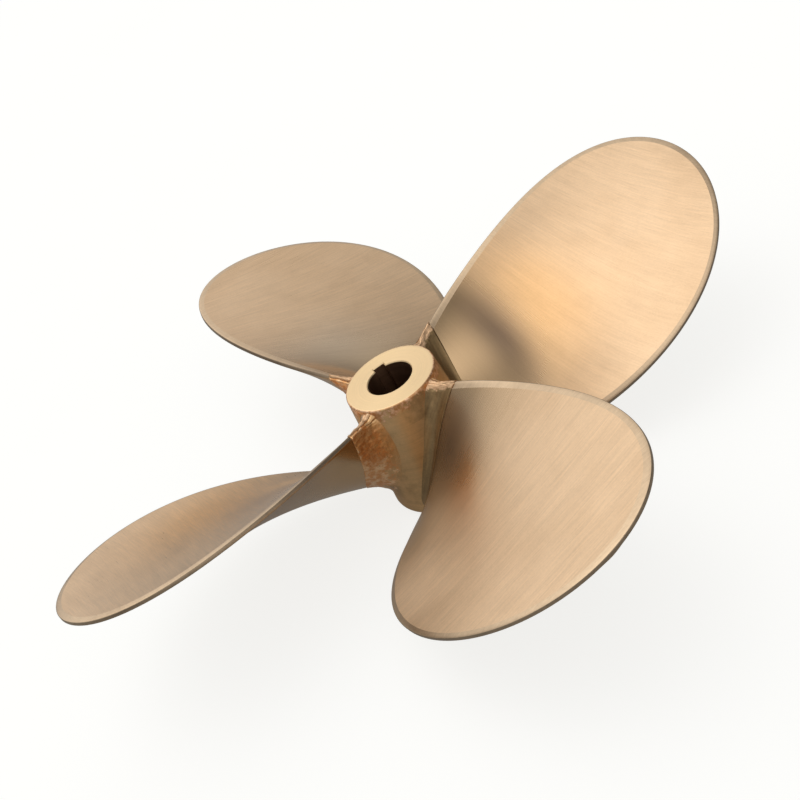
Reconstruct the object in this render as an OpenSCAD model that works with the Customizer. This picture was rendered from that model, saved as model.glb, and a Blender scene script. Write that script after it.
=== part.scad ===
// Four-bladed right-handed boat propeller: a keyed hub, four raked and skewed
// blades, and the weld along each side of every blade root.
// Millimetres. Z runs along the shaft bore from the forward hub face (z = 0) aft.
// The keyway lies on +X. Blades are counted anticlockwise seen from aft.

/* [Propeller] */
// Diameter swept by the blade tips
diameter = 508; // [300:1:900]
// Advance per turn of the pressure faces
pitch = 381; // [200:1:700]
// Number of blades
blade_count = 4; // [4:1:4]
// Angle from the keyway to the middle of the first blade root
first_blade_angle = -7.4; // [-45:0.1:45]

/* [Hub] */
// Length along the shaft
hub_length = 92; // [60:0.5:160]
// Outer radius at the aft face
hub_aft_radius = 31.75; // [25:0.25:60]
// Outer radius at the forward face, before its edge is rounded
hub_forward_radius = 38.1; // [28:0.1:70]
// Rounding of the forward edge
forward_round = 5; // [1:0.5:8]
// Chamfer on the aft edge
aft_chamfer = 0.8; // [0.2:0.1:2]
// Radius of the shaft bore
bore_radius = 15.875; // [10:0.005:30]
// Chamfer at both ends of the bore
bore_chamfer = 0.6; // [0.2:0.1:2]
// Width of the keyway
keyway_width = 7.94; // [4:0.01:16]
// Depth of the keyway at its sides
keyway_depth = 3.97; // [2:0.01:8]

/* [Blade outline] */
// Radius where the blade outline formula starts
root_radius = 38.35; // [36:0.05:60]
// Height of the middle of the blade root above the forward face
root_height = 49; // [40:0.5:60]
// Chord at the root, as a share of the tip radius
chord_share = 0.373; // [0.3:0.001:0.45]
// How fast the chord swells outwards: linear term
swell_linear = 0.86; // [0.5:0.01:1.2]
// How fast the chord swells outwards: square term
swell_square = 0.65; // [0.2:0.01:1]
// How fast the chord swells outwards: cube term
swell_cube = -0.20; // [-0.6:0.01:0.2]
// Angle by which the tip trails the root
skew = 10.3; // [0:0.1:30]
// Rise of the blade towards aft per millimetre of radius
rake_slope = 0.192; // [0:0.001:0.4]

/* [Blade section] */
// Greatest thickness at the root
root_thickness = 20; // [10:0.5:30]
// Greatest thickness at the tip
tip_thickness = 4.2; // [3:0.1:8]
// Thickness of the blunt rim
rim_thickness = 2.6; // [1.5:0.1:4]
// Width of the ground bevel that follows the rim on the pressure face
bevel_width = 4.3; // [2:0.1:8]
// Depth of that bevel at the rim
bevel_depth = 0.9; // [0.3:0.1:2]

/* [Root welds] */
// Radius of the upper edge at the middle of the pressure face
weld_face_radius = 40.5; // [39:0.5:60]
// Radius of the upper edge at the middle of the back
weld_back_radius = 51.5; // [39:0.5:60]
// Radius of the upper edge at the trailing edge
weld_trailing_radius = 53.5; // [39:0.5:60]
// Radius of the upper edge at the leading edge
weld_leading_radius = 42.5; // [39:0.5:60]
// How far the weld spreads over the hub at mid chord
weld_spread = 11; // [4:0.5:14]
// How far it spreads past the leading and trailing edges
weld_end_spread = 2.2; // [1:0.1:4]
// Height of the step at the weld's edges
weld_step = 0.4; // [0.2:0.1:1]

/* [Hidden] */
tip_radius = diameter / 2;
outline_length = tip_radius - root_radius;
joint_gap = 0.06;
seat_gap = 0.2;
hub_slope = (hub_forward_radius - hub_aft_radius) / hub_length;
taper_angle = atan(hub_slope);
keyway_floor = sqrt(pow(bore_radius, 2) - pow(keyway_width / 2, 2)) + keyway_depth;
cut_over = 1;
half_turn = 180;
blade_rows = 26;
blade_columns = 18;
tip_fraction = 0.012;
derivative_step = 0.001;
wall_levels = 6;
seat_steps = 5;
corner_turns = 3;
seat_size = blade_columns + 1;
blade_ring_size = 2 * seat_size;
weld_ring_size = 2 * (wall_levels + 1) + seat_steps;
smoothness = 180;
blade_colour = [0.79, 0.64, 0.46];
hub_colour = [0.86, 0.73, 0.53];
face_weld_colour = [0.60, 0.46, 0.29];
back_weld_colour = [0.66, 0.42, 0.25];

// Which sub-part to draw

// ---- The blade as a sheet: x along the section, r from the shaft axis ----

function span_share(r) = (r - root_radius) / outline_length;

function swell(s) =
    chord_share + swell_linear * s + swell_square * pow(s, 2) + swell_cube * pow(s, 3);

function half_chord(r) =
    tip_radius * sqrt(max(0, 1 - span_share(r))) * swell(span_share(r)) / 2;

// Outline point at a fraction that is 1 at the root and 0 at the tip.
function row_radius(fraction) = tip_radius - outline_length * pow(fraction, 2);

function row_reach(fraction) = half_chord(row_radius(fraction));

// Unit vector square to the outline, pointing into the blade.
function inward(fraction) =
    let (
        dx = row_reach(fraction + derivative_step) - row_reach(fraction),
        dr = row_radius(fraction + derivative_step) - row_radius(fraction),
        size = norm([dx, dr])
    )
    [dr / size, -dx / size];

function inset_reach(fraction) = row_reach(fraction) + bevel_width * inward(fraction)[0];

function inset_radius(fraction) = row_radius(fraction) + bevel_width * inward(fraction)[1];

function fraction_at(r) = sqrt(max(0, (tip_radius - r) / outline_length));

// ---- From the sheet to space ----

function skew_at(r) = skew * pow(max(0, span_share(r)), 2);

function pitch_angle(r) = atan(pitch / (2 * PI * r));

function centre_height(r) =
    root_height + rake_slope * (r - root_radius) + pitch * skew_at(r) / 360;

// Height above the forward face; y is measured from the face towards the back.
function height_at(x, r, y) =
    centre_height(r) + x * sin(pitch_angle(r)) - y * cos(pitch_angle(r));

function turn_at(x, r, y) =
    skew_at(r) + (x * cos(pitch_angle(r)) + y * sin(pitch_angle(r))) / r * 180 / PI;

function space_point(x, r, y) =
    [r * cos(turn_at(x, r, y)), r * sin(turn_at(x, r, y)), height_at(x, r, y)];

function hub_radius(z) = hub_forward_radius - hub_slope * z;

// Radius at which a line of the sheet meets the hub, found in two steps.
function seat_first(x, y) = hub_radius(height_at(x, hub_forward_radius, y));

function seat_radius(x, y) = hub_radius(height_at(x, seat_first(x, y), y)) + seat_gap;

// ---- Thickness ----

function crown(r) =
    root_thickness + (tip_thickness - root_thickness) * max(0, span_share(r));

function back_height(x, r) =
    let (share = min(1, abs(x) / max(half_chord(r), derivative_step)))
    rim_thickness + bevel_depth * pow(share, 4)
        + (crown(r) - rim_thickness) * (1 - pow(share, 2));

// ---- Closed skins ----

function ring_quads(rings, size) = [
    for (i = [0 : rings - 2])
    for (k = [0 : size - 1])
    for (half = [0, 1])
    let (
        a = i * size + k,
        b = i * size + (k + 1) % size,
        c = a + size,
        d = b + size
    )
    half == 0 ? [a, b, d] : [a, d, c]
];

// Closes a ring whose point k faces point size - 1 - k.
function strip_cap(start, size, flip) = [
    for (k = [0 : size / 2 - 2])
    for (half = [0, 1])
    let (
        a = start + k,
        b = start + k + 1,
        c = start + size - 1 - k,
        d = start + size - 2 - k,
        face = half == 0 ? [a, d, b] : [a, c, d]
    )
    flip ? [face[0], face[2], face[1]] : face
];

// ---- Blade ----

column_list = [for (j = [0 : blade_columns]) j];

// Signed position across the blade: outline, inset line, then even steps.
function across(fraction, j) =
    j == 0 ? -row_reach(fraction)
    : j == blade_columns ? row_reach(fraction)
    : inset_reach(fraction) * (2 * (j - 1) / (blade_columns - 2) - 1);

function along(fraction, j) =
    j == 0 || j == blade_columns ? row_radius(fraction) : inset_radius(fraction);

function row_fraction(i) =
    i == blade_rows ? tip_fraction
    : 1 - (1 - 3 * tip_fraction) * (i - 1) / (blade_rows - 2);

function on_rim(j) = j == 0 || j == blade_columns;

function face_height(i, j) = on_rim(j) || i == blade_rows ? bevel_depth : 0;

function sheet_x(i, j) =
    i == 0 ? across(1, j)
    : i == blade_rows ? row_reach(tip_fraction) * (2 * j / blade_columns - 1)
    : across(row_fraction(i), j);

function sheet_r(i, j) =
    i == blade_rows ? row_radius(tip_fraction) : along(row_fraction(i), j);

function back_y(i, j) =
    i == blade_rows ? bevel_depth + rim_thickness
    : back_height(sheet_x(i, j), sheet_r(max(i, 1), j));

function blade_point(i, j, y) =
    let (
        x = sheet_x(i, j),
        r = i == 0 ? seat_radius(x, y) : sheet_r(i, j)
    )
    space_point(x, r, y);

function blade_ring(i) = [
    for (j = column_list) blade_point(i, j, face_height(i, j)),
    for (j = column_list)
        let (k = blade_columns - j)
        blade_point(i, k, back_y(i, k))
];

// The cap that sits on the hub follows the hub's round between face and back.
function seat_row(step) = [
    for (j = [1 : blade_columns - 1])
        let (
            low = face_height(0, j),
            y = low + (back_y(0, j) - low) * step / seat_steps
        )
        blade_point(0, j, y)
];

seat_start = (blade_rows + 1) * blade_ring_size;

function seat_index(step, j) =
    step == 0 ? j
    : step == seat_steps ? blade_ring_size - 1 - j
    : seat_start + (step - 1) * (blade_columns - 1) + j - 1;

function seat_fan(corner, j, flip) = [
    for (t = [0 : seat_steps - 1])
        flip ? [corner, seat_index(t + 1, j), seat_index(t, j)]
        : [corner, seat_index(t, j), seat_index(t + 1, j)]
];

function seat_faces() = concat(
    [
        for (t = [0 : seat_steps - 1])
        for (j = [1 : blade_columns - 2])
        for (half = [0, 1])
        let (
            a = seat_index(t, j),
            b = seat_index(t, j + 1),
            c = seat_index(t + 1, j),
            d = seat_index(t + 1, j + 1)
        )
        half == 0 ? [a, d, b] : [a, c, d]
    ],
    seat_fan(seat_index(0, 0), 1, true),
    [[seat_index(0, 0), seat_index(seat_steps, 0), seat_index(seat_steps, 1)]],
    seat_fan(seat_index(0, blade_columns), blade_columns - 1, false),
    [[
        seat_index(0, blade_columns),
        seat_index(seat_steps, blade_columns - 1),
        seat_index(seat_steps, blade_columns)
    ]]
);

module at_blade(number) {
    rotate([0, 0, first_blade_angle + (number - 1) * 360 / blade_count])
        children();
}

module blade(number) {
    ring_points = [for (i = [0 : blade_rows]) each blade_ring(i)];
    seat_points = [for (t = [1 : seat_steps - 1]) each seat_row(t)];
    side_faces = ring_quads(blade_rows + 1, blade_ring_size);
    tip_faces = strip_cap(blade_rows * blade_ring_size, blade_ring_size, true);
    color(blade_colour)
        at_blade(number)
            polyhedron(
                points = concat(ring_points, seat_points),
                faces = concat(side_faces, tip_faces, seat_faces())
            );
}

// ---- Root welds: side is -1 on the pressure face and 1 on the back ----

// Position across the root, -1 at the leading edge and 1 at the trailing edge.
function root_share(j) = across(1, j) / row_reach(1);

function weld_top(j, side) =
    let (
        w = root_share(j),
        middle = side < 0 ? weld_face_radius : weld_back_radius,
        edge = w < 0 ? weld_leading_radius : weld_trailing_radius
    )
    middle + (edge - middle) * pow(w, 2);

function weld_reach(j) =
    weld_end_spread
        + (weld_spread - weld_end_spread) * sqrt(max(0, 1 - pow(root_share(j), 2)));

// Where a column of the blade stands at radius r.
function column_x(r, j) =
    let (
        f = min(1, fraction_at(r)),
        g = min(1, fraction_at(r - bevel_width * inward(f)[1]))
    )
    on_rim(j) ? across(f, j) : across(g, j);

function column_y(x, r, j, side, middle) =
    middle ? bevel_depth + rim_thickness / 2
    : side < 0 ? (on_rim(j) ? bevel_depth : 0)
    : back_height(x, max(r, sheet_r(1, j)));

// Stations run from the leading edge to the trailing edge round one side:
// [column, direction away from the blade, whether it is the middle of the rim].
function weld_stations(side) = [
    [0, half_turn, true],
    for (t = [0 : corner_turns]) [0, half_turn - side * 90 * t / corner_turns, false],
    for (j = [1 : blade_columns - 1]) [j, side * 90, false],
    for (t = [0 : corner_turns])
        [blade_columns, side * 90 * (1 - t / corner_turns), false],
    [blade_columns, 0, true]
];

// Point at radius r, a distance out from the blade along the station's direction.
function weld_point(station, side, r, out, seated) =
    let (
        x = column_x(r, station[0]),
        y = column_y(x, r, station[0], side, station[2]),
        u = x + (joint_gap + out) * cos(station[1]),
        v = y + (joint_gap + out) * sin(station[1])
    )
    space_point(u, seated ? seat_radius(u, v) : r, v);

function weld_ring(station, side) =
    let (
        top = weld_top(station[0], side),
        reach = weld_reach(station[0]),
        x = across(1, station[0]),
        y = column_y(x, root_radius, station[0], side, station[2]),
        inner_seat = seat_radius(x, y),
        toe = seat_radius(
            x + reach * cos(station[1]),
            y + reach * sin(station[1])
        ) + weld_step
    )
    [
        for (a = [0 : wall_levels - 1])
            weld_point(
                station, side,
                top - (top - inner_seat) * sin(90 * a / wall_levels),
                0, false
            ),
        for (b = [0 : seat_steps])
            weld_point(
                station, side, root_radius,
                (reach + weld_step) * b / seat_steps, true
            ),
        for (a = [wall_levels : -1 : 0])
            weld_point(
                station, side,
                top - (top - toe) * sin(90 * a / wall_levels),
                weld_step + reach * (1 - cos(90 * a / wall_levels)), false
            )
    ];

function weld_cap(start, flip) =
    let (outer = start + weld_ring_size - 1)
    [
        for (a = [0 : wall_levels - 1])
        for (half = [0, 1])
        let (
            face = half == 0
                ? [start + a, outer - a - 1, start + a + 1]
                : [start + a, outer - a, outer - a - 1]
        )
        flip ? [face[0], face[2], face[1]] : face,
        for (b = [0 : seat_steps - 1])
        let (face = [outer - wall_levels, start + wall_levels + b + 1, start + wall_levels + b])
        flip ? [face[0], face[2], face[1]] : face
    ];

module root_weld(number, side) {
    stations = weld_stations(side);
    last = len(stations) - 1;
    weld_points = [for (s = stations) each weld_ring(s, side)];
    weld_faces = concat(
        ring_quads(last + 1, weld_ring_size),
        weld_cap(0, false),
        weld_cap(last * weld_ring_size, true)
    );
    color(side < 0 ? face_weld_colour : back_weld_colour)
        at_blade(number)
            polyhedron(
                points = weld_points,
                faces = side > 0 ? weld_faces : [for (f = weld_faces) [f[0], f[2], f[1]]]
            );
}

// ---- Hub ----

module hub_profile() {
    tangent_z = forward_round * (1 + sin(taper_angle));
    centre_x = hub_radius(tangent_z) - forward_round * cos(taper_angle);
    intersection() {
        polygon([
            [bore_radius + bore_chamfer, 0],
            [hub_forward_radius, 0],
            [hub_radius(hub_length - aft_chamfer), hub_length - aft_chamfer],
            [hub_aft_radius - aft_chamfer, hub_length],
            [bore_radius + bore_chamfer, hub_length],
            [bore_radius, hub_length - bore_chamfer],
            [bore_radius, bore_chamfer]
        ]);
        union() {
            translate([centre_x, forward_round])
                circle(r = forward_round, $fn = smoothness);
            square([centre_x, hub_length]);
            translate([0, tangent_z])
                square([hub_forward_radius, hub_length - tangent_z]);
        }
    }
}

module hub() {
    color(hub_colour)
        difference() {
            rotate_extrude($fn = smoothness)
                hub_profile();
            translate([0, -keyway_width / 2, -cut_over])
                cube([keyway_floor, keyway_width, hub_length + 2 * cut_over]);
        }
}

hub();
blade(1);  // blade_1
blade(2);  // blade_2
blade(3);  // blade_3
blade(4);  // blade_4
root_weld(1, -1);  // face_weld_1
root_weld(2, -1);  // face_weld_2
root_weld(3, -1);  // face_weld_3
root_weld(4, -1);  // face_weld_4
root_weld(1, 1);  // back_weld_1
root_weld(2, 1);  // back_weld_2
root_weld(3, 1);  // back_weld_3
root_weld(4, 1);  // back_weld_4
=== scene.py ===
"""Looks for the four-bladed bronze boat propeller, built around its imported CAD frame."""

import math

import bmesh
import bpy
import numpy as np
from mathutils import Matrix, Vector, noise


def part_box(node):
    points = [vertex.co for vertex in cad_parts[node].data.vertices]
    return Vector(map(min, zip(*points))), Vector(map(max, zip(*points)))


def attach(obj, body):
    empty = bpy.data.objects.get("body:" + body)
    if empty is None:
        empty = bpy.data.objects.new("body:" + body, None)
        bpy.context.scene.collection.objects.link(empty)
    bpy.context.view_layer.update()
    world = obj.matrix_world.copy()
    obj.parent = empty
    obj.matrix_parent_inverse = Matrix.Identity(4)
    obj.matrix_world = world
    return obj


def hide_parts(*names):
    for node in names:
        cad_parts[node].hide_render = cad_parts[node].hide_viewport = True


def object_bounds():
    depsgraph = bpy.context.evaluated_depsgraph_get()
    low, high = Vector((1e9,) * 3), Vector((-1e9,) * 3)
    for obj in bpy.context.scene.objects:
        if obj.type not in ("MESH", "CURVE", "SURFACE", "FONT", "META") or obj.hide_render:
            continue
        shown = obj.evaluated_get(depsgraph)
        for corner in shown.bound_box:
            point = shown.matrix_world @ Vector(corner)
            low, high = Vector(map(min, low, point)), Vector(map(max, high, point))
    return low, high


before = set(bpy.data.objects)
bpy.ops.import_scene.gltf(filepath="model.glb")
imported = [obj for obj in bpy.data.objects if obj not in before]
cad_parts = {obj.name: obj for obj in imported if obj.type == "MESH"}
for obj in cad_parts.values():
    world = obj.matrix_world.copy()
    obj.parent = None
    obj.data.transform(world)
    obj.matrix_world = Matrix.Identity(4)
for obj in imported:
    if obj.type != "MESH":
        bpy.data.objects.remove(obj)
cad_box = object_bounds()

MM = 0.001
BLADES = (1, 2, 3, 4)

# ---- Driving sizes, the same as the CAD's: lengths in millimetres, angles in radians ----
TIP_R = 254.0
PITCH = 381.0
FIRST_ANGLE = math.radians(-7.4)
HUB_LENGTH = 92.0
HUB_AFT_R = 31.75
HUB_FWD_R = 38.1
FWD_ROUND = 5.0
BORE_R = 15.875
KEY_HALF = 7.94 / 2
KEY_DEPTH = 3.97
KEY_FLOOR = math.sqrt(BORE_R ** 2 - KEY_HALF ** 2) + KEY_DEPTH
AFT_CHAMFER = 0.8
BORE_CHAMFER = 0.6
ROOT_R = 38.35
ROOT_HEIGHT = 49.0
SWELL = (0.373, 0.86, 0.65, -0.20)
SKEW = math.radians(10.3)
RAKE = 0.192
CROWN_ROOT = 20.0
CROWN_TIP = 4.2
RIM = 2.6
BEVEL = 4.3
BEVEL_DEPTH = 0.9
SPAN = TIP_R - ROOT_R


# ---- The blade sheet: x along the section, r from the axis, y from face to back ----

def swell(s):
    """How the chord swells at share s of the span."""
    return SWELL[0] + SWELL[1] * s + SWELL[2] * s ** 2 + SWELL[3] * s ** 3


def half_chord(r):
    """Half the chord at radius r."""
    s = (r - ROOT_R) / SPAN
    return TIP_R / 2 * math.sqrt(max(0.0, 1 - s)) * swell(s)


def outline(t):
    """Outline point at t: -1 leading root, 0 tip, 1 trailing root."""
    r = TIP_R - SPAN * t * t
    return np.array((TIP_R / 2 * t * swell(1 - t * t), r))


def inward(t):
    """Unit direction from the outline at t into the blade."""
    step = 1e-4
    d = outline(t + step) - outline(t - step)
    d /= np.linalg.norm(d)
    # travelling from the leading root over the tip, the blade lies to the right
    return np.array((d[1], -d[0]))


def space(x, r, y, number):
    """The point, in metres, of a place on blade `number`."""
    beta = math.atan2(PITCH, 2 * math.pi * r)
    s = max(0.0, (r - ROOT_R) / SPAN)
    lag = SKEW * s * s
    z = ROOT_HEIGHT + RAKE * (r - ROOT_R) + PITCH * lag / (2 * math.pi)
    z += x * math.sin(beta) - y * math.cos(beta)
    a = FIRST_ANGLE + (number - 1) * math.pi / 2 + lag
    a += (x * math.cos(beta) + y * math.sin(beta)) / r
    return Vector((r * math.cos(a), r * math.sin(a), z)) * MM


def crown(r):
    """Greatest thickness at radius r."""
    return CROWN_ROOT + (CROWN_TIP - CROWN_ROOT) * max(0.0, (r - ROOT_R) / SPAN)


def back_y(x, r):
    """Height of the back above the face plane."""
    share = min(1.0, abs(x) / max(half_chord(r), 1e-6))
    return RIM + BEVEL_DEPTH * share ** 4 + (crown(r) - RIM) * (1 - share ** 2)


# ---- Mesh helpers ----

def make_object(name, verts, faces):
    """A smooth mesh object, its normals made consistent, linked to the scene."""
    mesh = bpy.data.meshes.new(name)
    mesh.from_pydata([tuple(v) for v in verts], [], faces)
    mesh.validate()
    bm = bmesh.new()
    bm.from_mesh(mesh)
    bmesh.ops.recalc_face_normals(bm, faces=bm.faces)
    bm.to_mesh(mesh)
    bm.free()
    for p in mesh.polygons:
        p.use_smooth = True
    obj = bpy.data.objects.new(name, mesh)
    bpy.context.scene.collection.objects.link(obj)
    return obj


def set_uv(obj, values, name="sheet"):
    """Gives every corner the UV of its vertex."""
    layer = obj.data.uv_layers.new(name=name)
    for loop in obj.data.loops:
        layer.data[loop.index].uv = values[loop.vertex_index]


def mark_sharp(obj, pairs):
    """Marks the edges between these pairs of vertices as sharp."""
    edges = {tuple(sorted(e.vertices)): e for e in obj.data.edges}
    for a, b in pairs:
        e = edges.get(tuple(sorted((a, b))))
        if e is not None:
            e.use_edge_sharp = True


# ---- Blades ----

ROWS = 96
COLUMNS = 40
# the skin starts inside the hub, at this radius
SKIN_START_R = 30.5
T_ROOT = math.sqrt((TIP_R - SKIN_START_R) / SPAN)
# material slots of a blade
FACE, BEVELLED, RIM_BAND, BACK = range(4)
# how far the edges of the painted reflections and of the scuffs wander, and over what distance
REFLECTION_AND_SCUFF_SWAY, REFLECTION_AND_SCUFF_SWAY_SIZE = 3, 30
# stretches the brush marks' sheet across the twisted blade
SHEET_STRETCH = 1.15


# painted reflections: how each tints the colour of the pressure faces, standing in for dark reflected bands
# and golden and grey reflections
REFLECTION_TINTS = {"dark_reflection": (0.35, 0.35, 0.40), "golden_reflection": (1.15, 0.95, 0.65), "grey_reflection": (0.90, 1.00, 1.15)}
# painted reflections on each blade: (tint, x, r, reach along x, reach along r, strength), in mm
PAINTED_REFLECTIONS = {
    1: (("grey_reflection", 20, 100, 50, 35, 1.0),),
    2: (("golden_reflection", -20, 150, 60, 50, 1.0), ("dark_reflection", 15, 115, 35, 25, 0.3)),
    3: (("dark_reflection", 15, 60, 35, 30, 1.0),),
    4: (("dark_reflection", 20, 80, 50, 14, 1.0), ("golden_reflection", 20, 115, 60, 30, 0.7)),
}
# dull, scuffed zones on the pressure faces: (x, r, reach along x, reach along r, strength), in mm
SCUFFS = {
    1: ((-70, 150, 25, 40, 0.2),),
    2: ((-30, 90, 20, 20, 0.8),),
    3: ((-70, 130, 50, 55, 1.0), (-25, 80, 20, 35, 0.7), (25, 60, 35, 25, 0.6)),
    4: ((-50, 100, 30, 40, 0.5), (75, 140, 20, 50, 0.3)),
}
# direction of the brush marks, from straight across the blade
BRUSH_TURN = {k: math.radians(a) for k, a in {1: -5, 2: -10, 3: 0, 4: -15}.items()}


def bell(x, r, middle_x, middle_r, reach_x, reach_r):
    """1 at the middle, fading smoothly over the reaches."""
    return math.exp(-((x - middle_x) / reach_x) ** 2 - ((r - middle_r) / reach_r) ** 2)


def blade(number):
    """A skin in three patches that share their borders: face, back, and the rim band between them."""
    verts, uvs, faces, finish, reflection_paint, haze = [], [], [], [], [], []

    def add(x, r, y):
        verts.append(space(x, r, y, number))
        turn = x * math.cos(math.atan2(PITCH, 2 * math.pi * r)) / r
        flat = Vector((r * math.sin(turn) * SHEET_STRETCH, r * math.cos(turn)))
        flat.rotate(Matrix.Rotation(-BRUSH_TURN[number], 2))
        uvs.append(flat * MM)
        sway = REFLECTION_AND_SCUFF_SWAY * noise.noise(Vector((x / REFLECTION_AND_SCUFF_SWAY_SIZE, r / REFLECTION_AND_SCUFF_SWAY_SIZE, number)))
        # painted reflections: dark bands and golden and grey tints multiplied into the face colour
        tint = np.ones(3)
        for tone_patch, *zone, strength in PAINTED_REFLECTIONS[number]:
            share = strength * bell(x + sway, r + sway, *zone)
            tint *= 1 + (np.array(REFLECTION_TINTS[tone_patch]) - 1) * share
        reflection_paint.append((*tint, 1.0))
        dull = sum(strength * bell(x + sway, r - sway, *zone) for *zone, strength in SCUFFS[number])
        haze.append(min(1.0, dull))
        return len(verts) - 1

    stations = np.linspace(-T_ROOT, T_ROOT, 2 * ROWS + 1)
    # distance in from the outline, height above the face plane
    corner = 0.35
    section = [
        (BEVEL, 0.0), (BEVEL / 2, BEVEL_DEPTH / 2), (corner, BEVEL_DEPTH - 0.05),
        (0.08, BEVEL_DEPTH + 0.12), (0.0, BEVEL_DEPTH + corner),
        (0.0, BEVEL_DEPTH + RIM - corner), (0.1, BEVEL_DEPTH + RIM - 0.1),
    ]
    band = []
    for t in stations:
        edge, n = outline(t), inward(t)
        column = []
        for inset, y in section:
            x, r = edge + n * inset
            column.append(add(x, r, y))
        for inset in (0.5, BEVEL / 2, BEVEL):
            x, r = edge + n * inset
            column.append(add(x, r, max(back_y(x, min(r, TIP_R)), BEVEL_DEPTH + RIM)))
        band.append(column)
    for i in range(len(band) - 1):
        for j in range(len(band[0]) - 1):
            finish.append(BEVELLED if j < 2 else RIM_BAND if j < 6 else BACK)
            faces.append((band[i][j], band[i + 1][j], band[i + 1][j + 1], band[i][j + 1]))

    def patch(j_band, flip, back):
        mid = ROWS
        rows = []
        for i in range(ROWS, 0, -1):
            lead, trail = band[mid - i][j_band], band[mid + i][j_band]
            a, n = outline(stations[mid - i]), inward(stations[mid - i])
            x0, r0 = a + n * BEVEL
            row = [lead]
            for j in range(1, COLUMNS):
                x = x0 - 2 * x0 * j / COLUMNS
                row.append(add(x, r0, back_y(x, r0) if back else 0.0))
            row.append(trail)
            rows.append(row)
        for a, b in zip(rows, rows[1:]):
            for j in range(COLUMNS):
                quad = (a[j], a[j + 1], b[j + 1], b[j])
                faces.append(quad[::-1] if flip else quad)
        tip = band[mid][j_band]
        last = rows[-1]
        for j in range(COLUMNS):
            tri = (last[j], last[j + 1], tip)
            faces.append(tri[::-1] if flip else tri)
        return rows[0]

    face_root = patch(0, False, False)
    finish += [FACE] * (len(faces) - len(finish))
    back_root = patch(len(section) + 2, True, True)
    root_loop = face_root + band[-1][1:-1] + back_root[::-1] + band[0][-2:0:-1]
    faces.append(tuple(root_loop))
    finish += [BACK] * (len(faces) - len(finish))
    obj = make_object(f"blade_skin_{number}", verts, faces)
    set_uv(obj, uvs)
    mark_sharp(obj, [(band[i][0], band[i + 1][0]) for i in range(len(band) - 1)])
    obj.data.polygons.foreach_set("material_index", finish)
    colours = obj.data.attributes.new("reflection_paint", "FLOAT_COLOR", "POINT")
    colours.data.foreach_set("color", np.array(reflection_paint, np.float32).ravel())
    obj.data.attributes.new("haze", "FLOAT", "POINT").data.foreach_set("value", haze)
    return obj


# ---- Root welds ----

WELD_STATIONS = 150
WELD_LEVELS = 22
MID_RADIUS = {-1: 40.5, 1: 51.5}
TRAIL_RADIUS, LEAD_RADIUS = 53.5, 42.5
WELD_SPREAD, END_SPREAD, WELD_STEP = 11.0, 2.2, 0.4
# how deep the hidden parts of a weld lie: in the blade, under the crisp edge, and in the hub
BLADE_SINK, EDGE_SINK, TOE_SINK = 0.6, 0.15, 0.45
# the skirt inside the hub: depth below the toe, depth of its foot, and how far that foot is under the blade
SKIRT_SINK, FOOT_SINK, FOOT_REACH = 0.7, 1.5, 1.2
# the crisp edge: its share of the step's height, and its share of the lumps
EDGE_HEIGHT, EDGE_LUMPS = 0.6, 0.2
# where the torn trailing end starts, as a share of the way from mid root, and how soon it is in full
TORN_START, TORN_RAMP = 0.86, 0.12
# height and grain, in mm, of the rough backs and of the torn ends
BACK_LUMPS, TORN_LUMPS = (0.45, 3.0), (0.7, 2.6)
# share of the lumps that a back weld loses towards its toe
TOE_CALM = 0.75
# grinding hollows on the face welds: depth, length and width
HOLLOW_DEPTH, HOLLOW_LENGTH, HOLLOW_WIDTH = 0.22, 45, 3.2
# fractal noise of the lumps: how fast finer grains fade, their ratio in size, how many there are
LUMP_FADE, LUMP_RATIO, LUMP_OCTAVES = 0.7, 2.2, 4


def hub_radius(z):
    """Radius of the tapered barrel at height z."""
    return HUB_FWD_R + (HUB_AFT_R - HUB_FWD_R) * z / HUB_LENGTH


def seat_radius(x, y):
    """Radius at which a place beside the blade root meets the barrel, found by repeated substitution."""
    r = HUB_FWD_R - 3
    for _ in range(3):
        beta = math.atan2(PITCH, 2 * math.pi * r)
        z = ROOT_HEIGHT + RAKE * (r - ROOT_R) + x * math.sin(beta) - y * math.cos(beta)
        r = hub_radius(z)
    return r


def weld_contour(side):
    """(share across the root, direction away from the blade, height kind) round one side."""
    out = [(-1.0, math.pi, 0.5)]
    turns = 10
    for k in range(turns + 1):
        out.append((-1.0, math.pi - side * math.pi / 2 * k / turns, 0.0))
    for k in range(1, WELD_STATIONS):
        out.append((-math.cos(math.pi * k / WELD_STATIONS), side * math.pi / 2, 0.0))
    for k in range(turns + 1):
        out.append((1.0, side * math.pi / 2 * (1 - k / turns), 0.0))
    out.append((1.0, 0.0, 0.5))
    return out


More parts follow.
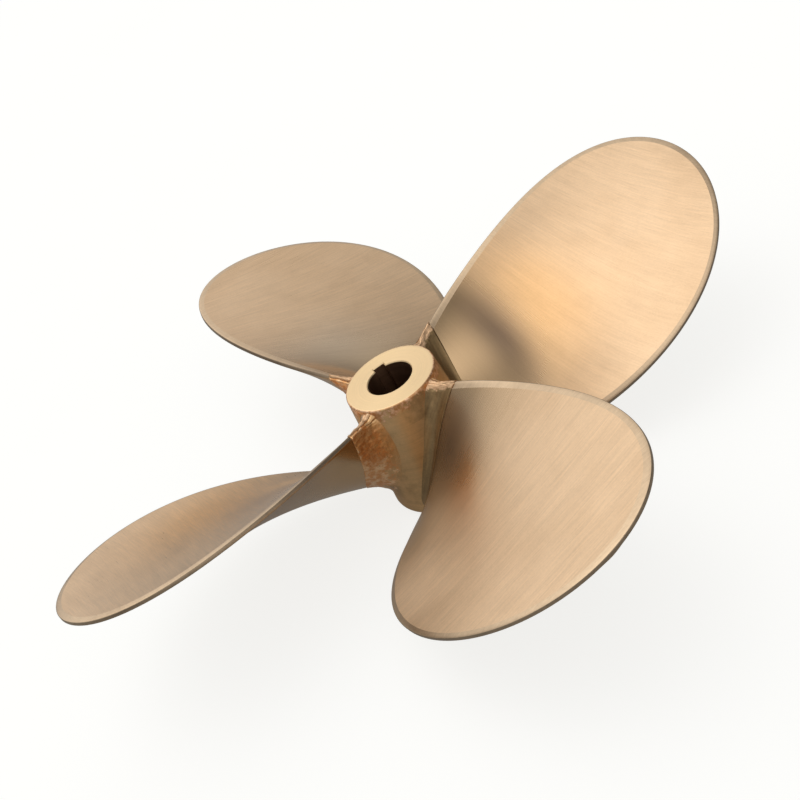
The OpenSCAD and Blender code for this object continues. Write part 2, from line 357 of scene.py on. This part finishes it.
def weld(number, side):
    """The weld on one side of a blade's root: -1 is the pressure face, 1 the back."""
    verts, uvs, faces, toes, torn = [], [], [], [], []
    rings = []
    run, last = 0.0, None
    for w, angle, middle in weld_contour(side):
        reach = END_SPREAD + (WELD_SPREAD - END_SPREAD) * math.sqrt(max(0.0, 1 - w * w))
        mid = MID_RADIUS[side]
        top = mid + ((LEAD_RADIUS if w < 0 else TRAIL_RADIUS) - mid) * w * w
        nx, ny = math.cos(angle), math.sin(angle)

        def place(r, out):
            hc = half_chord(max(r, ROOT_R - 2))
            x = w * hc
            if side < 0:
                y = BEVEL_DEPTH * max(0.0, 1 - (1 - abs(w)) * hc / BEVEL)
            else:
                y = back_y(x, max(r, ROOT_R))
            if middle:
                y = BEVEL_DEPTH + RIM / 2
            return x + nx * out, y + ny * out

        x0, y0 = place(ROOT_R, 0.0)
        seat = seat_radius(x0 + nx * reach, y0 + ny * reach)
        here = space(x0, ROOT_R, y0, number)
        if last is not None:
            run += (here - last).length
        last = here
        # from inside the blade, over the crisp upper edge, down the hollow flank to the toe in the hub
        ring = [(*place(top, -BLADE_SINK), top - EDGE_SINK, 0.0, 0.0),
                (*place(top, WELD_STEP * EDGE_HEIGHT), top, EDGE_LUMPS, 0.0)]
        for k in range(WELD_LEVELS + 1):
            phi = math.pi / 2 * k / WELD_LEVELS
            r = top - (top - seat + TOE_SINK) * math.sin(phi)
            ring.append((*place(r, WELD_STEP + reach * (1 - math.cos(phi))), r, 1.0, k / WELD_LEVELS))
        ring.append((*place(seat, WELD_STEP + reach), seat - SKIRT_SINK, 0.0, 1.0))
        ring.append((*place(seat, -FOOT_REACH), seat - FOOT_SINK, 0.0, 1.0))
        rings.append((ring, run, w))
    size = len(rings[0][0])
    mask = []
    for ring, along, w in rings:
        down, before = 0.0, None
        for x, y, r, lump, toe in ring:
            p = space(x, r, y, number)
            down += (p - before).length if before is not None else 0.0
            before = p
            verts.append(p)
            uvs.append((along, down))
            toes.append(toe)
            torn.append(min(1.0, max(0.0, (w - TORN_START) / TORN_RAMP)))
            mask.append(lump)
    for i in range(len(rings) - 1):
        for k in range(size):
            a, b = i * size + k, i * size + (k + 1) % size
            faces.append((a, b, b + size, a + size))
    faces.append(tuple(range(size)))
    faces.append(tuple(range((len(rings) - 1) * size, len(rings) * size)))
    kind = "face" if side < 0 else "back"
    obj = make_object(f"{kind}_weld_bead_{number}", verts, faces)
    set_uv(obj, uvs)
    for name, values in (("toe", toes), ("torn", torn)):
        obj.data.attributes.new(name, "FLOAT", "POINT").data.foreach_set("value", values)
    seed = number * 7.0 + side
    # the toe stays put, so that it runs smoothly into the hub
    held = [m * (1 - t ** 4) for m, t in zip(mask, toes)]
    if side > 0:
        roughen(obj, [m * (1 - TOE_CALM * t) for m, t in zip(held, toes)], *BACK_LUMPS, seed)
    else:
        roughen(obj, [m * t for m, t in zip(held, torn)], *TORN_LUMPS, seed)
        flute(obj, uvs, held, seed)
    return obj


def flute(obj, uvs, mask, seed):
    """Long shallow grinding hollows that run along a weld."""
    normals = [v.normal.copy() for v in obj.data.vertices]
    for v, n, m, (along, down) in zip(obj.data.vertices, normals, mask, uvs):
        across = down / (HOLLOW_WIDTH * MM)
        wave = noise.noise(Vector((along / (HOLLOW_LENGTH * MM) + seed, across, seed)))
        v.co += n * wave * HOLLOW_DEPTH * MM * m


def roughen(obj, mask, height, grain, seed):
    """Moves the outer skin along its normals by smooth fractal noise, height in millimetres."""
    normals = [v.normal.copy() for v in obj.data.vertices]
    shift = Vector((seed, seed * 0.37, -seed))
    for v, n, m in zip(obj.data.vertices, normals, mask):
        if m > 0:
            q = v.co / (grain * MM) + shift
            d = noise.fractal(q, LUMP_FADE, LUMP_RATIO, LUMP_OCTAVES, noise_basis="PERLIN_ORIGINAL")
            v.co += n * d * height * MM * m


# ---- Hub ----

# material slots of the hub
BARREL, END_FACE, BORE_WALL = range(3)
# steps round the hub, and rings along its barrel, its rounded edge and its bore
HUB_STEPS, BARREL_RINGS, ROUND_STEPS, BORE_RINGS = 300, 44, 10, 24
# the aft edge is eased a little between its face and its chamfer
AFT_EASE = 0.25
# gap between the rounded forward edge and the barrel's first ring
ROUND_GAP = 1.5
# angles, in radians, that keep the keyway's corners apart from the points beside them
CORNER_CLEAR, CORNER_STEP = 0.004, 0.002


def keyed(angle, radius, floor):
    """Radius of the bore's outline with its keyway, at an angle from +X."""
    a = (angle + math.pi) % (2 * math.pi) - math.pi
    half = KEY_HALF + (radius - BORE_R)
    if abs(a) < math.asin(half / radius):
        return min(floor / math.cos(a), half / max(abs(math.sin(a)), 1e-9))
    return radius


def hub():
    """The tapered barrel as a closed ring of profile points, with its bore and keyway."""
    side = math.asin(KEY_HALF / BORE_R)
    low = math.atan2(KEY_HALF, KEY_FLOOR)
    angles = [2 * math.pi * k / HUB_STEPS for k in range(HUB_STEPS)]
    angles = [a for a in angles if min(a, 2 * math.pi - a) > side + CORNER_CLEAR]
    inner_side = side - CORNER_STEP
    notch = [side, inner_side] + list(np.linspace(low, inner_side, 6)[:-1][::-1])
    notch += [low * f for f in (0.96, 0.75, 0.5, 0.25)]
    angles += notch + [-a for a in notch] + [0.0]
    angles = sorted(a % (2 * math.pi) for a in angles)
    profile = []

    def outer(z, r):
        profile.append(("outer", z, r))

    profile.append(("bore", HUB_LENGTH, BORE_CHAMFER))
    face_outer = HUB_AFT_R - AFT_CHAMFER
    for f in (0.15, 0.35, 0.55, 0.75, 0.92):
        profile.append(("mix", HUB_LENGTH, f))
    outer(HUB_LENGTH, face_outer)
    outer(HUB_LENGTH - AFT_EASE, HUB_AFT_R - AFT_EASE)
    outer(HUB_LENGTH - AFT_CHAMFER, hub_radius(HUB_LENGTH - AFT_CHAMFER))
    for z in np.linspace(HUB_LENGTH - 2 * AFT_CHAMFER, FWD_ROUND + ROUND_GAP, BARREL_RINGS):
        outer(z, hub_radius(z))
    lean = math.atan((HUB_FWD_R - HUB_AFT_R) / HUB_LENGTH)
    centre_r = hub_radius(FWD_ROUND * (1 + math.sin(lean))) - FWD_ROUND * math.cos(lean)
    for k in range(ROUND_STEPS + 1):
        a = lean - (math.pi / 2 + lean) * k / ROUND_STEPS
        outer(FWD_ROUND + FWD_ROUND * math.sin(a), centre_r + FWD_ROUND * math.cos(a))
    for f in (0.8, 0.5, 0.2):
        profile.append(("mix_fwd", 0.0, f))
    profile.append(("bore", 0.0, BORE_CHAMFER))
    for z in np.linspace(BORE_CHAMFER, HUB_LENGTH - BORE_CHAMFER, BORE_RINGS):
        profile.append(("bore", z, 0.0))
    verts, faces = [], []
    for kind, z, value in profile:
        for a in angles:
            inner = keyed(a, BORE_R + BORE_CHAMFER, KEY_FLOOR + BORE_CHAMFER)
            if kind == "bore":
                r = keyed(a, BORE_R + value, KEY_FLOOR + value)
            elif kind == "outer":
                r = value
            elif kind == "mix":
                r = inner + (face_outer - inner) * value
            else:
                r = inner + (centre_r - inner) * value
            verts.append(Vector((r * math.cos(a), r * math.sin(a), z)) * MM)
    n = len(angles)
    for j in range(len(profile)):
        k = (j + 1) % len(profile)
        for i in range(n):
            m = (i + 1) % n
            faces.append((j * n + i, j * n + m, k * n + m, k * n + i))
    obj = make_object("hub_barrel", verts, faces)
    finish = []
    for j, (kind, z, value) in enumerate(profile):
        following = profile[(j + 1) % len(profile)]
        inside = kind == "bore" and following[0] == "bore"
        if inside and value + following[2] == 0:
            slot = BORE_WALL
        elif inside or {kind, following[0]} & {"mix", "mix_fwd"}:
            slot = END_FACE
        else:
            slot = BARREL
        finish += [slot] * n
    obj.data.polygons.foreach_set("material_index", finish)
    for j in range(len(profile)):
        if profile[j][0] == "bore":
            mark_sharp(obj, [(j * n + i, j * n + (i + 1) % n) for i in range(n)])
    return obj


# ---- Assembly ----

pieces = {}
for k in BLADES:
    pieces[f"blade_{k}"] = blade(k)
    pieces[f"face_weld_{k}"] = weld(k, -1)
    pieces[f"back_weld_{k}"] = weld(k, 1)
hub_obj = hub()
pieces["hub"] = hub_obj
for node, piece in pieces.items():
    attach(piece, "root")
    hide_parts(node)

# ---- Materials ----

def wire(tree, kind, inputs=None, **props):
    """Adds a node; an input that is a socket is linked, any other is set."""
    node = tree.nodes.new(kind)
    for key, value in props.items():
        setattr(node, key, value)
    for key, value in (inputs or {}).items():
        if isinstance(value, bpy.types.NodeSocket):
            tree.links.new(value, node.inputs[key])
        else:
            node.inputs[key].default_value = value
    return node


def math_node(tree, operation, a, b=0.0):
    return wire(tree, "ShaderNodeMath", {0: a, 1: b}, operation=operation).outputs[0]


def spread(tree, value, low, high, to_low=0.0, to_high=1.0, smooth=True):
    """Maps value from [low, high] to [to_low, to_high], clamped."""
    kind = "SMOOTHSTEP" if smooth else "LINEAR"
    inputs = {"Value": value, "From Min": low, "From Max": high, "To Min": to_low, "To Max": to_high}
    return wire(tree, "ShaderNodeMapRange", inputs, interpolation_type=kind).outputs[0]


def mix(tree, share, a, b, kind="MIX"):
    """Blends colours a and b by share."""
    node = tree.nodes.new("ShaderNodeMix")
    node.data_type = "RGBA"
    node.blend_type = kind
    for index, value in ((0, share), (6, a), (7, b)):
        if isinstance(value, bpy.types.NodeSocket):
            tree.links.new(value, node.inputs[index])
        elif index == 0:
            node.inputs[index].default_value = value
        else:
            node.inputs[index].default_value = (*value, 1.0)
    return node.outputs[2]


def texture_noise(tree, vector, size, turn=0.0, detail=3.0, rough=0.55):
    """Fractal noise. size in mm: one number, or (along, across, up), turned by `turn` about the third."""
    if isinstance(size, tuple):
        inputs = {"Vector": vector, "Scale": tuple(c * MM for c in size), "Rotation": (0, 0, turn)}
        vector = wire(tree, "ShaderNodeMapping", inputs, vector_type="TEXTURE").outputs[0]
        scale = 1.0
    else:
        scale = 1 / (size * MM)
    inputs = {"Vector": vector, "Scale": scale, "Detail": detail, "Roughness": rough}
    return wire(tree, "ShaderNodeTexNoise", inputs).outputs["Fac"]


def turned_place(tree, place):
    """Round the axis in x and y, and out or along it in z, so that marks are rings with no seam."""
    part = wire(tree, "ShaderNodeSeparateXYZ", {0: place}).outputs
    flat = wire(tree, "ShaderNodeCombineXYZ", {0: part[0], 1: part[1]}).outputs[0]
    reach = wire(tree, "ShaderNodeVectorMath", {0: flat}, operation="LENGTH").outputs["Value"]
    unit = wire(tree, "ShaderNodeVectorMath", {0: flat}, operation="NORMALIZE").outputs[0]
    unit = wire(tree, "ShaderNodeSeparateXYZ", {0: unit}).outputs
    inputs = {0: math_node(tree, "MULTIPLY", unit[0], 0.03), 1: math_node(tree, "MULTIPLY", unit[1], 0.03),
              2: math_node(tree, "ADD", reach, part[2])}
    return wire(tree, "ShaderNodeCombineXYZ", inputs).outputs[0]


def grey(tree, value):
    return wire(tree, "ShaderNodeCombineColor", {0: value, 1: value, 2: value}).outputs[0]


def bronze(name, tints, roughness, strokes, depth=0.03, anisotropy=0.5, contrast=0.10, lumps=None,
           extra=None, turned=False, stained=0.2):
    """Brushed bronze. tints: (darker, lighter) base colours; strokes: (length, width) of a mark in mm;
    depth: height of the marks in mm; contrast: how far they vary the tone; lumps: (size in mm, share
    of the height); extra: function that changes tone, roughness and metallic; turned: ring marks from
    a lathe; stained: how much darker blotches show."""
    mat = bpy.data.materials.new(name)
    mat.use_nodes = True
    tree = mat.node_tree
    tree.nodes.clear()
    place = wire(tree, "ShaderNodeTexCoord").outputs["Object"]
    if turned:
        sheet = turned_place(tree, place)
    else:
        sheet = wire(tree, "ShaderNodeUVMap", uv_map="sheet").outputs[0]
    length, width = strokes

    def marks(long, wide, turn, detail):
        size = (long, long, wide) if turned else (long, wide, 1)
        return texture_noise(tree, sheet, size, 0.0 if turned else turn, detail, 0.5)

    fine = math_node(tree, "ADD", marks(length, width, 0.05, 2.0), marks(length, width * 1.7, -0.04, 2.0))
    fine = math_node(tree, "MULTIPLY", fine, 0.5)
    coarse = marks(length * 2, width * 7, 0.02, 2.0)
    speck = texture_noise(tree, place, 1.4, detail=2.0)
    cloud = texture_noise(tree, place, 90.0, detail=4.0)
    tone_patch = texture_noise(tree, place, 21.0, detail=5.0, rough=0.6)
    tone = mix(tree, spread(tree, cloud, 0.35, 0.65), tints[0], tints[1])
    tone = mix(tree, spread(tree, tone_patch, 0.46, 0.72, 0.0, stained), tone, tuple(0.6 * c for c in tints[0]))
    lift = math_node(tree, "ADD", spread(tree, fine, 0.3, 0.7, 1 - contrast, 1 + contrast, False),
                     spread(tree, coarse, 0.3, 0.7, -contrast / 3, contrast / 3, False))
    lift = math_node(tree, "ADD", lift, spread(tree, speck, 0.3, 0.7, -contrast / 3, contrast / 3, False))
    tone = mix(tree, 1.0, tone, grey(tree, lift), "MULTIPLY")
    scratched = spread(tree, fine, 0.25, 0.75, roughness - 0.05, roughness + 0.05, False)
    rough = math_node(tree, "ADD", scratched, spread(tree, cloud, 0.3, 0.7, -0.03, 0.03, False))
    height = fine
    if lumps:
        size, share = lumps
        lump = texture_noise(tree, place, size, detail=5.0, rough=0.6)
        height = math_node(tree, "ADD", math_node(tree, "MULTIPLY", fine, 1 - share),
                           math_node(tree, "MULTIPLY", lump, share))
    metallic = 1.0
    if extra:
        tone, rough, metallic = extra(tree, tone, rough, sheet, place)
    worn = wire(tree, "ShaderNodeNewGeometry").outputs["Pointiness"]
    rubbed = tuple(min(1, 1.15 * c) for c in tints[1])
    tone = mix(tree, spread(tree, worn, 0.53, 0.62, 0.0, 0.5), tone, rubbed)
    bump = wire(tree, "ShaderNodeBump", {"Height": height, "Strength": 1.0, "Distance": depth * MM})
    if turned:
        tangent = wire(tree, "ShaderNodeTangent", direction_type="RADIAL", axis="Z").outputs[0]
    else:
        tangent = wire(tree, "ShaderNodeTangent", direction_type="UV_MAP", uv_map="sheet").outputs[0]
    shader = wire(tree, "ShaderNodeBsdfPrincipled", {
        "Base Color": tone, "Metallic": metallic, "Roughness": rough, "Anisotropic": anisotropy,
        "Anisotropic Rotation": 0.25, "Tangent": tangent, "Normal": bump.outputs[0]})
    wire(tree, "ShaderNodeOutputMaterial", {"Surface": shader.outputs[0]})
    return mat


def attribute(tree, name):
    return wire(tree, "ShaderNodeAttribute", attribute_name=name).outputs["Fac"]


def toward_root(tree, tone, rough, sheet, place):
    """Hand-ground near the root: a smoother metal whose colour deepens near the root, partly as tarnish and
    partly as painted shade where the blade meets the hub.
    """
    flat = wire(tree, "ShaderNodeVectorMath", {0: place, 1: (1, 1, 0)}, operation="MULTIPLY").outputs[0]
    r = wire(tree, "ShaderNodeVectorMath", {0: flat}, operation="LENGTH").outputs["Value"]
    wobble = texture_noise(tree, place, 40.0)
    r = math_node(tree, "ADD", r, spread(tree, wobble, 0.2, 0.8, -0.012, 0.012, False))
    near = spread(tree, r, 0.060, 0.125, 1.0, 0.0)
    # the deeper colour near the root is partly tarnish and partly painted shade where the blade meets the
    # hub
    tone = mix(tree, math_node(tree, "MULTIPLY", near, 0.75), tone, (0.68, 0.46, 0.25))
    rough = math_node(tree, "SUBTRACT", rough, math_node(tree, "MULTIPLY", near, 0.15))
    return tone, rough, 1.0


def scuffs_and_painted_reflections(tree, tone, rough, sheet, place):
    """The pressure face: ground near the root, with painted reflections (dark bands, golden and grey tints)
    and dull scuffed zones.
    """
    tone, rough, _ = toward_root(tree, tone, rough, sheet, place)
    reflection_paint = wire(tree, "ShaderNodeAttribute", attribute_name="reflection_paint").outputs["Color"]
    # multiplies in the painted reflections of each blade
    tone = mix(tree, 1.0, tone, reflection_paint, "MULTIPLY")
    haze = attribute(tree, "haze")
    rough = math_node(tree, "ADD", rough, math_node(tree, "MULTIPLY", haze, 0.26))
    return tone, rough, spread(tree, haze, 0.0, 1.0, 1.0, 0.5, False)


def copper_patches(tree, tone, rough, sheet, place):
    """Raw copper colour that gives way, raggedly, to ground bronze at the toe."""
    ragged = texture_noise(tree, place, 6.0, detail=5.0, rough=0.65)
    fray = spread(tree, ragged, 0.25, 0.75, -0.45, 0.45, False)
    toe = math_node(tree, "ADD", attribute(tree, "toe"), fray)
    raw = spread(tree, toe, 0.45, 0.72, 1.0, 0.0)
    shine = texture_noise(tree, place, 5.0, detail=4.0, rough=0.6)
    copper = mix(tree, spread(tree, shine, 0.42, 0.62), (0.80, 0.39, 0.155), (1.0, 0.64, 0.35))
    tone = mix(tree, raw, tone, copper)
    rough = math_node(tree, "ADD", rough, spread(tree, shine, 0.4, 0.7, 0.06, -0.12, False))
    return tone, rough, 1.0


# distance below the aft face where the raw flecks start, and where they are in full
RAW_BAND, RAW_FULL = 8, 3


def copper_rim(tree, tone, rough, sheet, place):
    """Raw copper-coloured flecks on the barrel, close under the aft face."""
    z = wire(tree, "ShaderNodeSeparateXYZ", {0: place}).outputs[2]
    ragged = texture_noise(tree, place, 5.0, detail=5.0, rough=0.65)
    edge = math_node(tree, "ADD", z, spread(tree, ragged, 0.25, 0.75, -0.010, 0.010, False))
    raw = spread(tree, edge, (HUB_LENGTH - RAW_BAND) * MM, (HUB_LENGTH - RAW_FULL) * MM)
    shine = texture_noise(tree, place, 3.5, detail=4.0, rough=0.6)
    copper = mix(tree, spread(tree, shine, 0.42, 0.62), (0.66, 0.35, 0.16), (1.0, 0.66, 0.42))
    return mix(tree, raw, tone, copper), rough, 1.0


def torn_end(tree, tone, rough, sheet, place):
    """The trailing end of a ground weld is left raw."""
    ragged = texture_noise(tree, place, 3.3, detail=5.0, rough=0.65)
    fray = spread(tree, ragged, 0.25, 0.75, -0.4, 0.4, False)
    torn = math_node(tree, "ADD", attribute(tree, "torn"), fray)
    raw = spread(tree, torn, 0.4, 0.6)
    return mix(tree, raw, tone, (0.86, 0.56, 0.33)), rough, 1.0


blade_face = bronze("blade_face", ((0.74, 0.51, 0.31), (0.82, 0.58, 0.365)), 0.31, (34, 0.7), 0.015,
                    extra=scuffs_and_painted_reflections, stained=0.10)
blade_back = bronze("blade_back", ((0.46, 0.30, 0.165), (0.56, 0.375, 0.215)), 0.36, (30, 1.0),
                    extra=toward_root)
blade_bevel = bronze("blade_bevel", ((0.66, 0.48, 0.31), (0.74, 0.55, 0.36)), 0.33, (6, 0.8),
                     anisotropy=0.3)
blade_rim = bronze("blade_rim", ((0.34, 0.25, 0.17), (0.44, 0.33, 0.22)), 0.40, (12, 0.6), anisotropy=0.2)
weld_face = bronze("weld_face", ((0.38, 0.25, 0.12), (0.49, 0.335, 0.17)), 0.44, (45, 2.2), 0.12, 0.4, 0.25,
                   lumps=(6, 0.3), extra=torn_end, stained=0.6)
weld_back = bronze("weld_back", ((0.66, 0.40, 0.18), (0.80, 0.50, 0.25)), 0.38, (20, 1.5), 0.30, 0.2, 0.1,
                   lumps=(2.6, 0.8), extra=copper_patches, stained=0.8)
hub_side = bronze("hub_side", ((0.66, 0.42, 0.20), (0.82, 0.55, 0.28)), 0.46, (40, 1.2), extra=copper_rim,
                  turned=True, stained=0.7)
hub_end = bronze("hub_end", ((0.92, 0.67, 0.38), (0.97, 0.72, 0.41)), 0.36, (60, 0.5), 0.012, contrast=0.04,
                 turned=True, stained=0.05)
# painted shade: the bore's colour is far darker than the machined faces, standing for the shade inside the
# bore
hub_bore_painted_shade = bronze("hub_bore_painted_shade", ((0.27, 0.155, 0.09), (0.33, 0.19, 0.115)), 0.42, (40, 0.7), turned=True)

for k in BLADES:
    for mat in (blade_face, blade_bevel, blade_rim, blade_back):
        pieces[f"blade_{k}"].data.materials.append(mat)
    pieces[f"face_weld_{k}"].data.materials.append(weld_face)
    pieces[f"back_weld_{k}"].data.materials.append(weld_back)
for mat in (hub_side, hub_end, hub_bore_painted_shade):
    hub_obj.data.materials.append(mat)

# ---- Stage, light and camera ----

FLOOR_REACH = 9.0
FLOOR_GAP = 0.0004
# glow and grey of the floor, as other rays and as the camera see it
GLOW_UNSEEN, GLOW_SEEN = 0.17, 0.80
GREY_UNSEEN = (0.25, 0.25, 0.25)
GREY_SEEN = ((0.28, 0.28, 0.275), (0.30, 0.30, 0.295))
# soft lights of a studio dome: azimuth, elevation, tightness, strength
STUDIO = {
    "overhead": (0, 90, 10, 0.9),
    "key": (30, 65, 12, 1.0),
    "far_wall": (10, 25, 5, 0.9),
    "near_window": (190, 45, 8, 0.7),
    "near_floor": (200, 5, 8, 0.8),
    "left_fill": (100, 30, 6, 0.6),
    "right_fill": (315, 30, 8, 0.5),
}
AMBIENT = 0.05
BACKDROP = 0.93
CAMERA_LENS = 58.3
SENSOR_WIDTH = 36.0
NEAR_CLIP = 0.01
CAMERA_AZIMUTH = 171.8
CAMERA_ELEVATION = 33.8
CAMERA_ROLL = -30.6
CAMERA_DISTANCE = 0.864
# the camera's aim: metres along X from the axis, and up from the forward hub face
AIM_X, AIM_HEIGHT = 0.0106, 0.0657


def toward(azimuth, elevation):
    """Unit direction from angles in degrees; azimuth 0 is +X."""
    a, e = math.radians(azimuth), math.radians(elevation)
    return (math.cos(e) * math.cos(a), math.cos(e) * math.sin(a), math.sin(e))


def pale_floor():
    """Bright to the camera, a dim grey table to other rays, and not there from below."""
    mat = bpy.data.materials.new("pale_floor")
    mat.use_nodes = True
    tree = mat.node_tree
    tree.nodes.clear()
    place = wire(tree, "ShaderNodeTexCoord").outputs["Object"]
    seen = wire(tree, "ShaderNodeLightPath").outputs["Is Camera Ray"]
    pale = mix(tree, texture_noise(tree, place, 300.0), *GREY_SEEN)
    matte = wire(tree, "ShaderNodeBsdfDiffuse", {"Color": mix(tree, seen, GREY_UNSEEN, pale)})
    strength = spread(tree, seen, 0.0, 1.0, GLOW_UNSEEN, GLOW_SEEN, False)
    glow = wire(tree, "ShaderNodeEmission", {"Color": (1, 1, 0.98, 1), "Strength": strength})
    both = wire(tree, "ShaderNodeAddShader", {0: matte.outputs[0], 1: glow.outputs[0]})
    clear = wire(tree, "ShaderNodeBsdfTransparent")
    under = wire(tree, "ShaderNodeNewGeometry").outputs["Backfacing"]
    shown = wire(tree, "ShaderNodeMixShader", {0: under, 1: both.outputs[0], 2: clear.outputs[0]})
    wire(tree, "ShaderNodeOutputMaterial", {"Surface": shown.outputs[0]})
    return mat


def add_floor():
    mesh = bpy.data.meshes.new("floor")
    corners = [(x * FLOOR_REACH, y * FLOOR_REACH, 0) for x, y in ((-1, -1), (1, -1), (1, 1), (-1, 1))]
    mesh.from_pydata(corners, [], [(0, 1, 2, 3)])
    mesh.materials.append(pale_floor())
    floor = bpy.data.objects.new("floor", mesh)
    floor.location.z = cad_box[0][2] - FLOOR_GAP
    bpy.context.scene.collection.objects.link(floor)


def add_studio():
    """Soft lights summed as lobes of the world, over an even ambient; the camera sees a plain backdrop."""
    world = bpy.data.worlds.new("studio_dome")
    world.use_nodes = True
    bpy.context.scene.world = world
    tree = world.node_tree
    tree.nodes.clear()
    ray = wire(tree, "ShaderNodeTexCoord").outputs["Generated"]
    total = AMBIENT
    for azimuth, elevation, tight, strength in STUDIO.values():
        inputs = {0: ray, 1: toward(azimuth, elevation)}
        dot = wire(tree, "ShaderNodeVectorMath", inputs, operation="DOT_PRODUCT").outputs["Value"]
        lobe = math_node(tree, "POWER", math_node(tree, "MAXIMUM", dot, 0.0), tight)
        total = math_node(tree, "ADD", math_node(tree, "MULTIPLY", lobe, strength), total)
    seen = wire(tree, "ShaderNodeLightPath").outputs["Is Camera Ray"]
    total = wire(tree, "ShaderNodeMix", {0: seen, 2: total, 3: BACKDROP}).outputs[0]
    sky = wire(tree, "ShaderNodeBackground", {"Color": (1, 1, 1, 1), "Strength": total})
    wire(tree, "ShaderNodeOutputWorld", {"Surface": sky.outputs[0]})


def add_camera():
    """The camera looks at a point near the hub and is rolled about its own line of sight."""
    data = bpy.data.cameras.new("camera")
    data.lens = CAMERA_LENS
    data.sensor_width = SENSOR_WIDTH
    data.clip_start = NEAR_CLIP
    camera = bpy.data.objects.new("camera", data)
    aim = Vector((AIM_X, 0.0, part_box("hub")[0][2] + AIM_HEIGHT))
    back = Vector(toward(CAMERA_AZIMUTH, CAMERA_ELEVATION))
    camera.location = aim + back * CAMERA_DISTANCE
    roll = Matrix.Rotation(math.radians(CAMERA_ROLL), 3, back)
    camera.rotation_euler = (roll @ back.to_track_quat("Z", "Y").to_matrix()).to_euler()
    bpy.context.scene.collection.objects.link(camera)
    bpy.context.scene.camera = camera
    bpy.context.scene.view_settings.view_transform = "Standard"


add_floor()
add_studio()
add_camera()
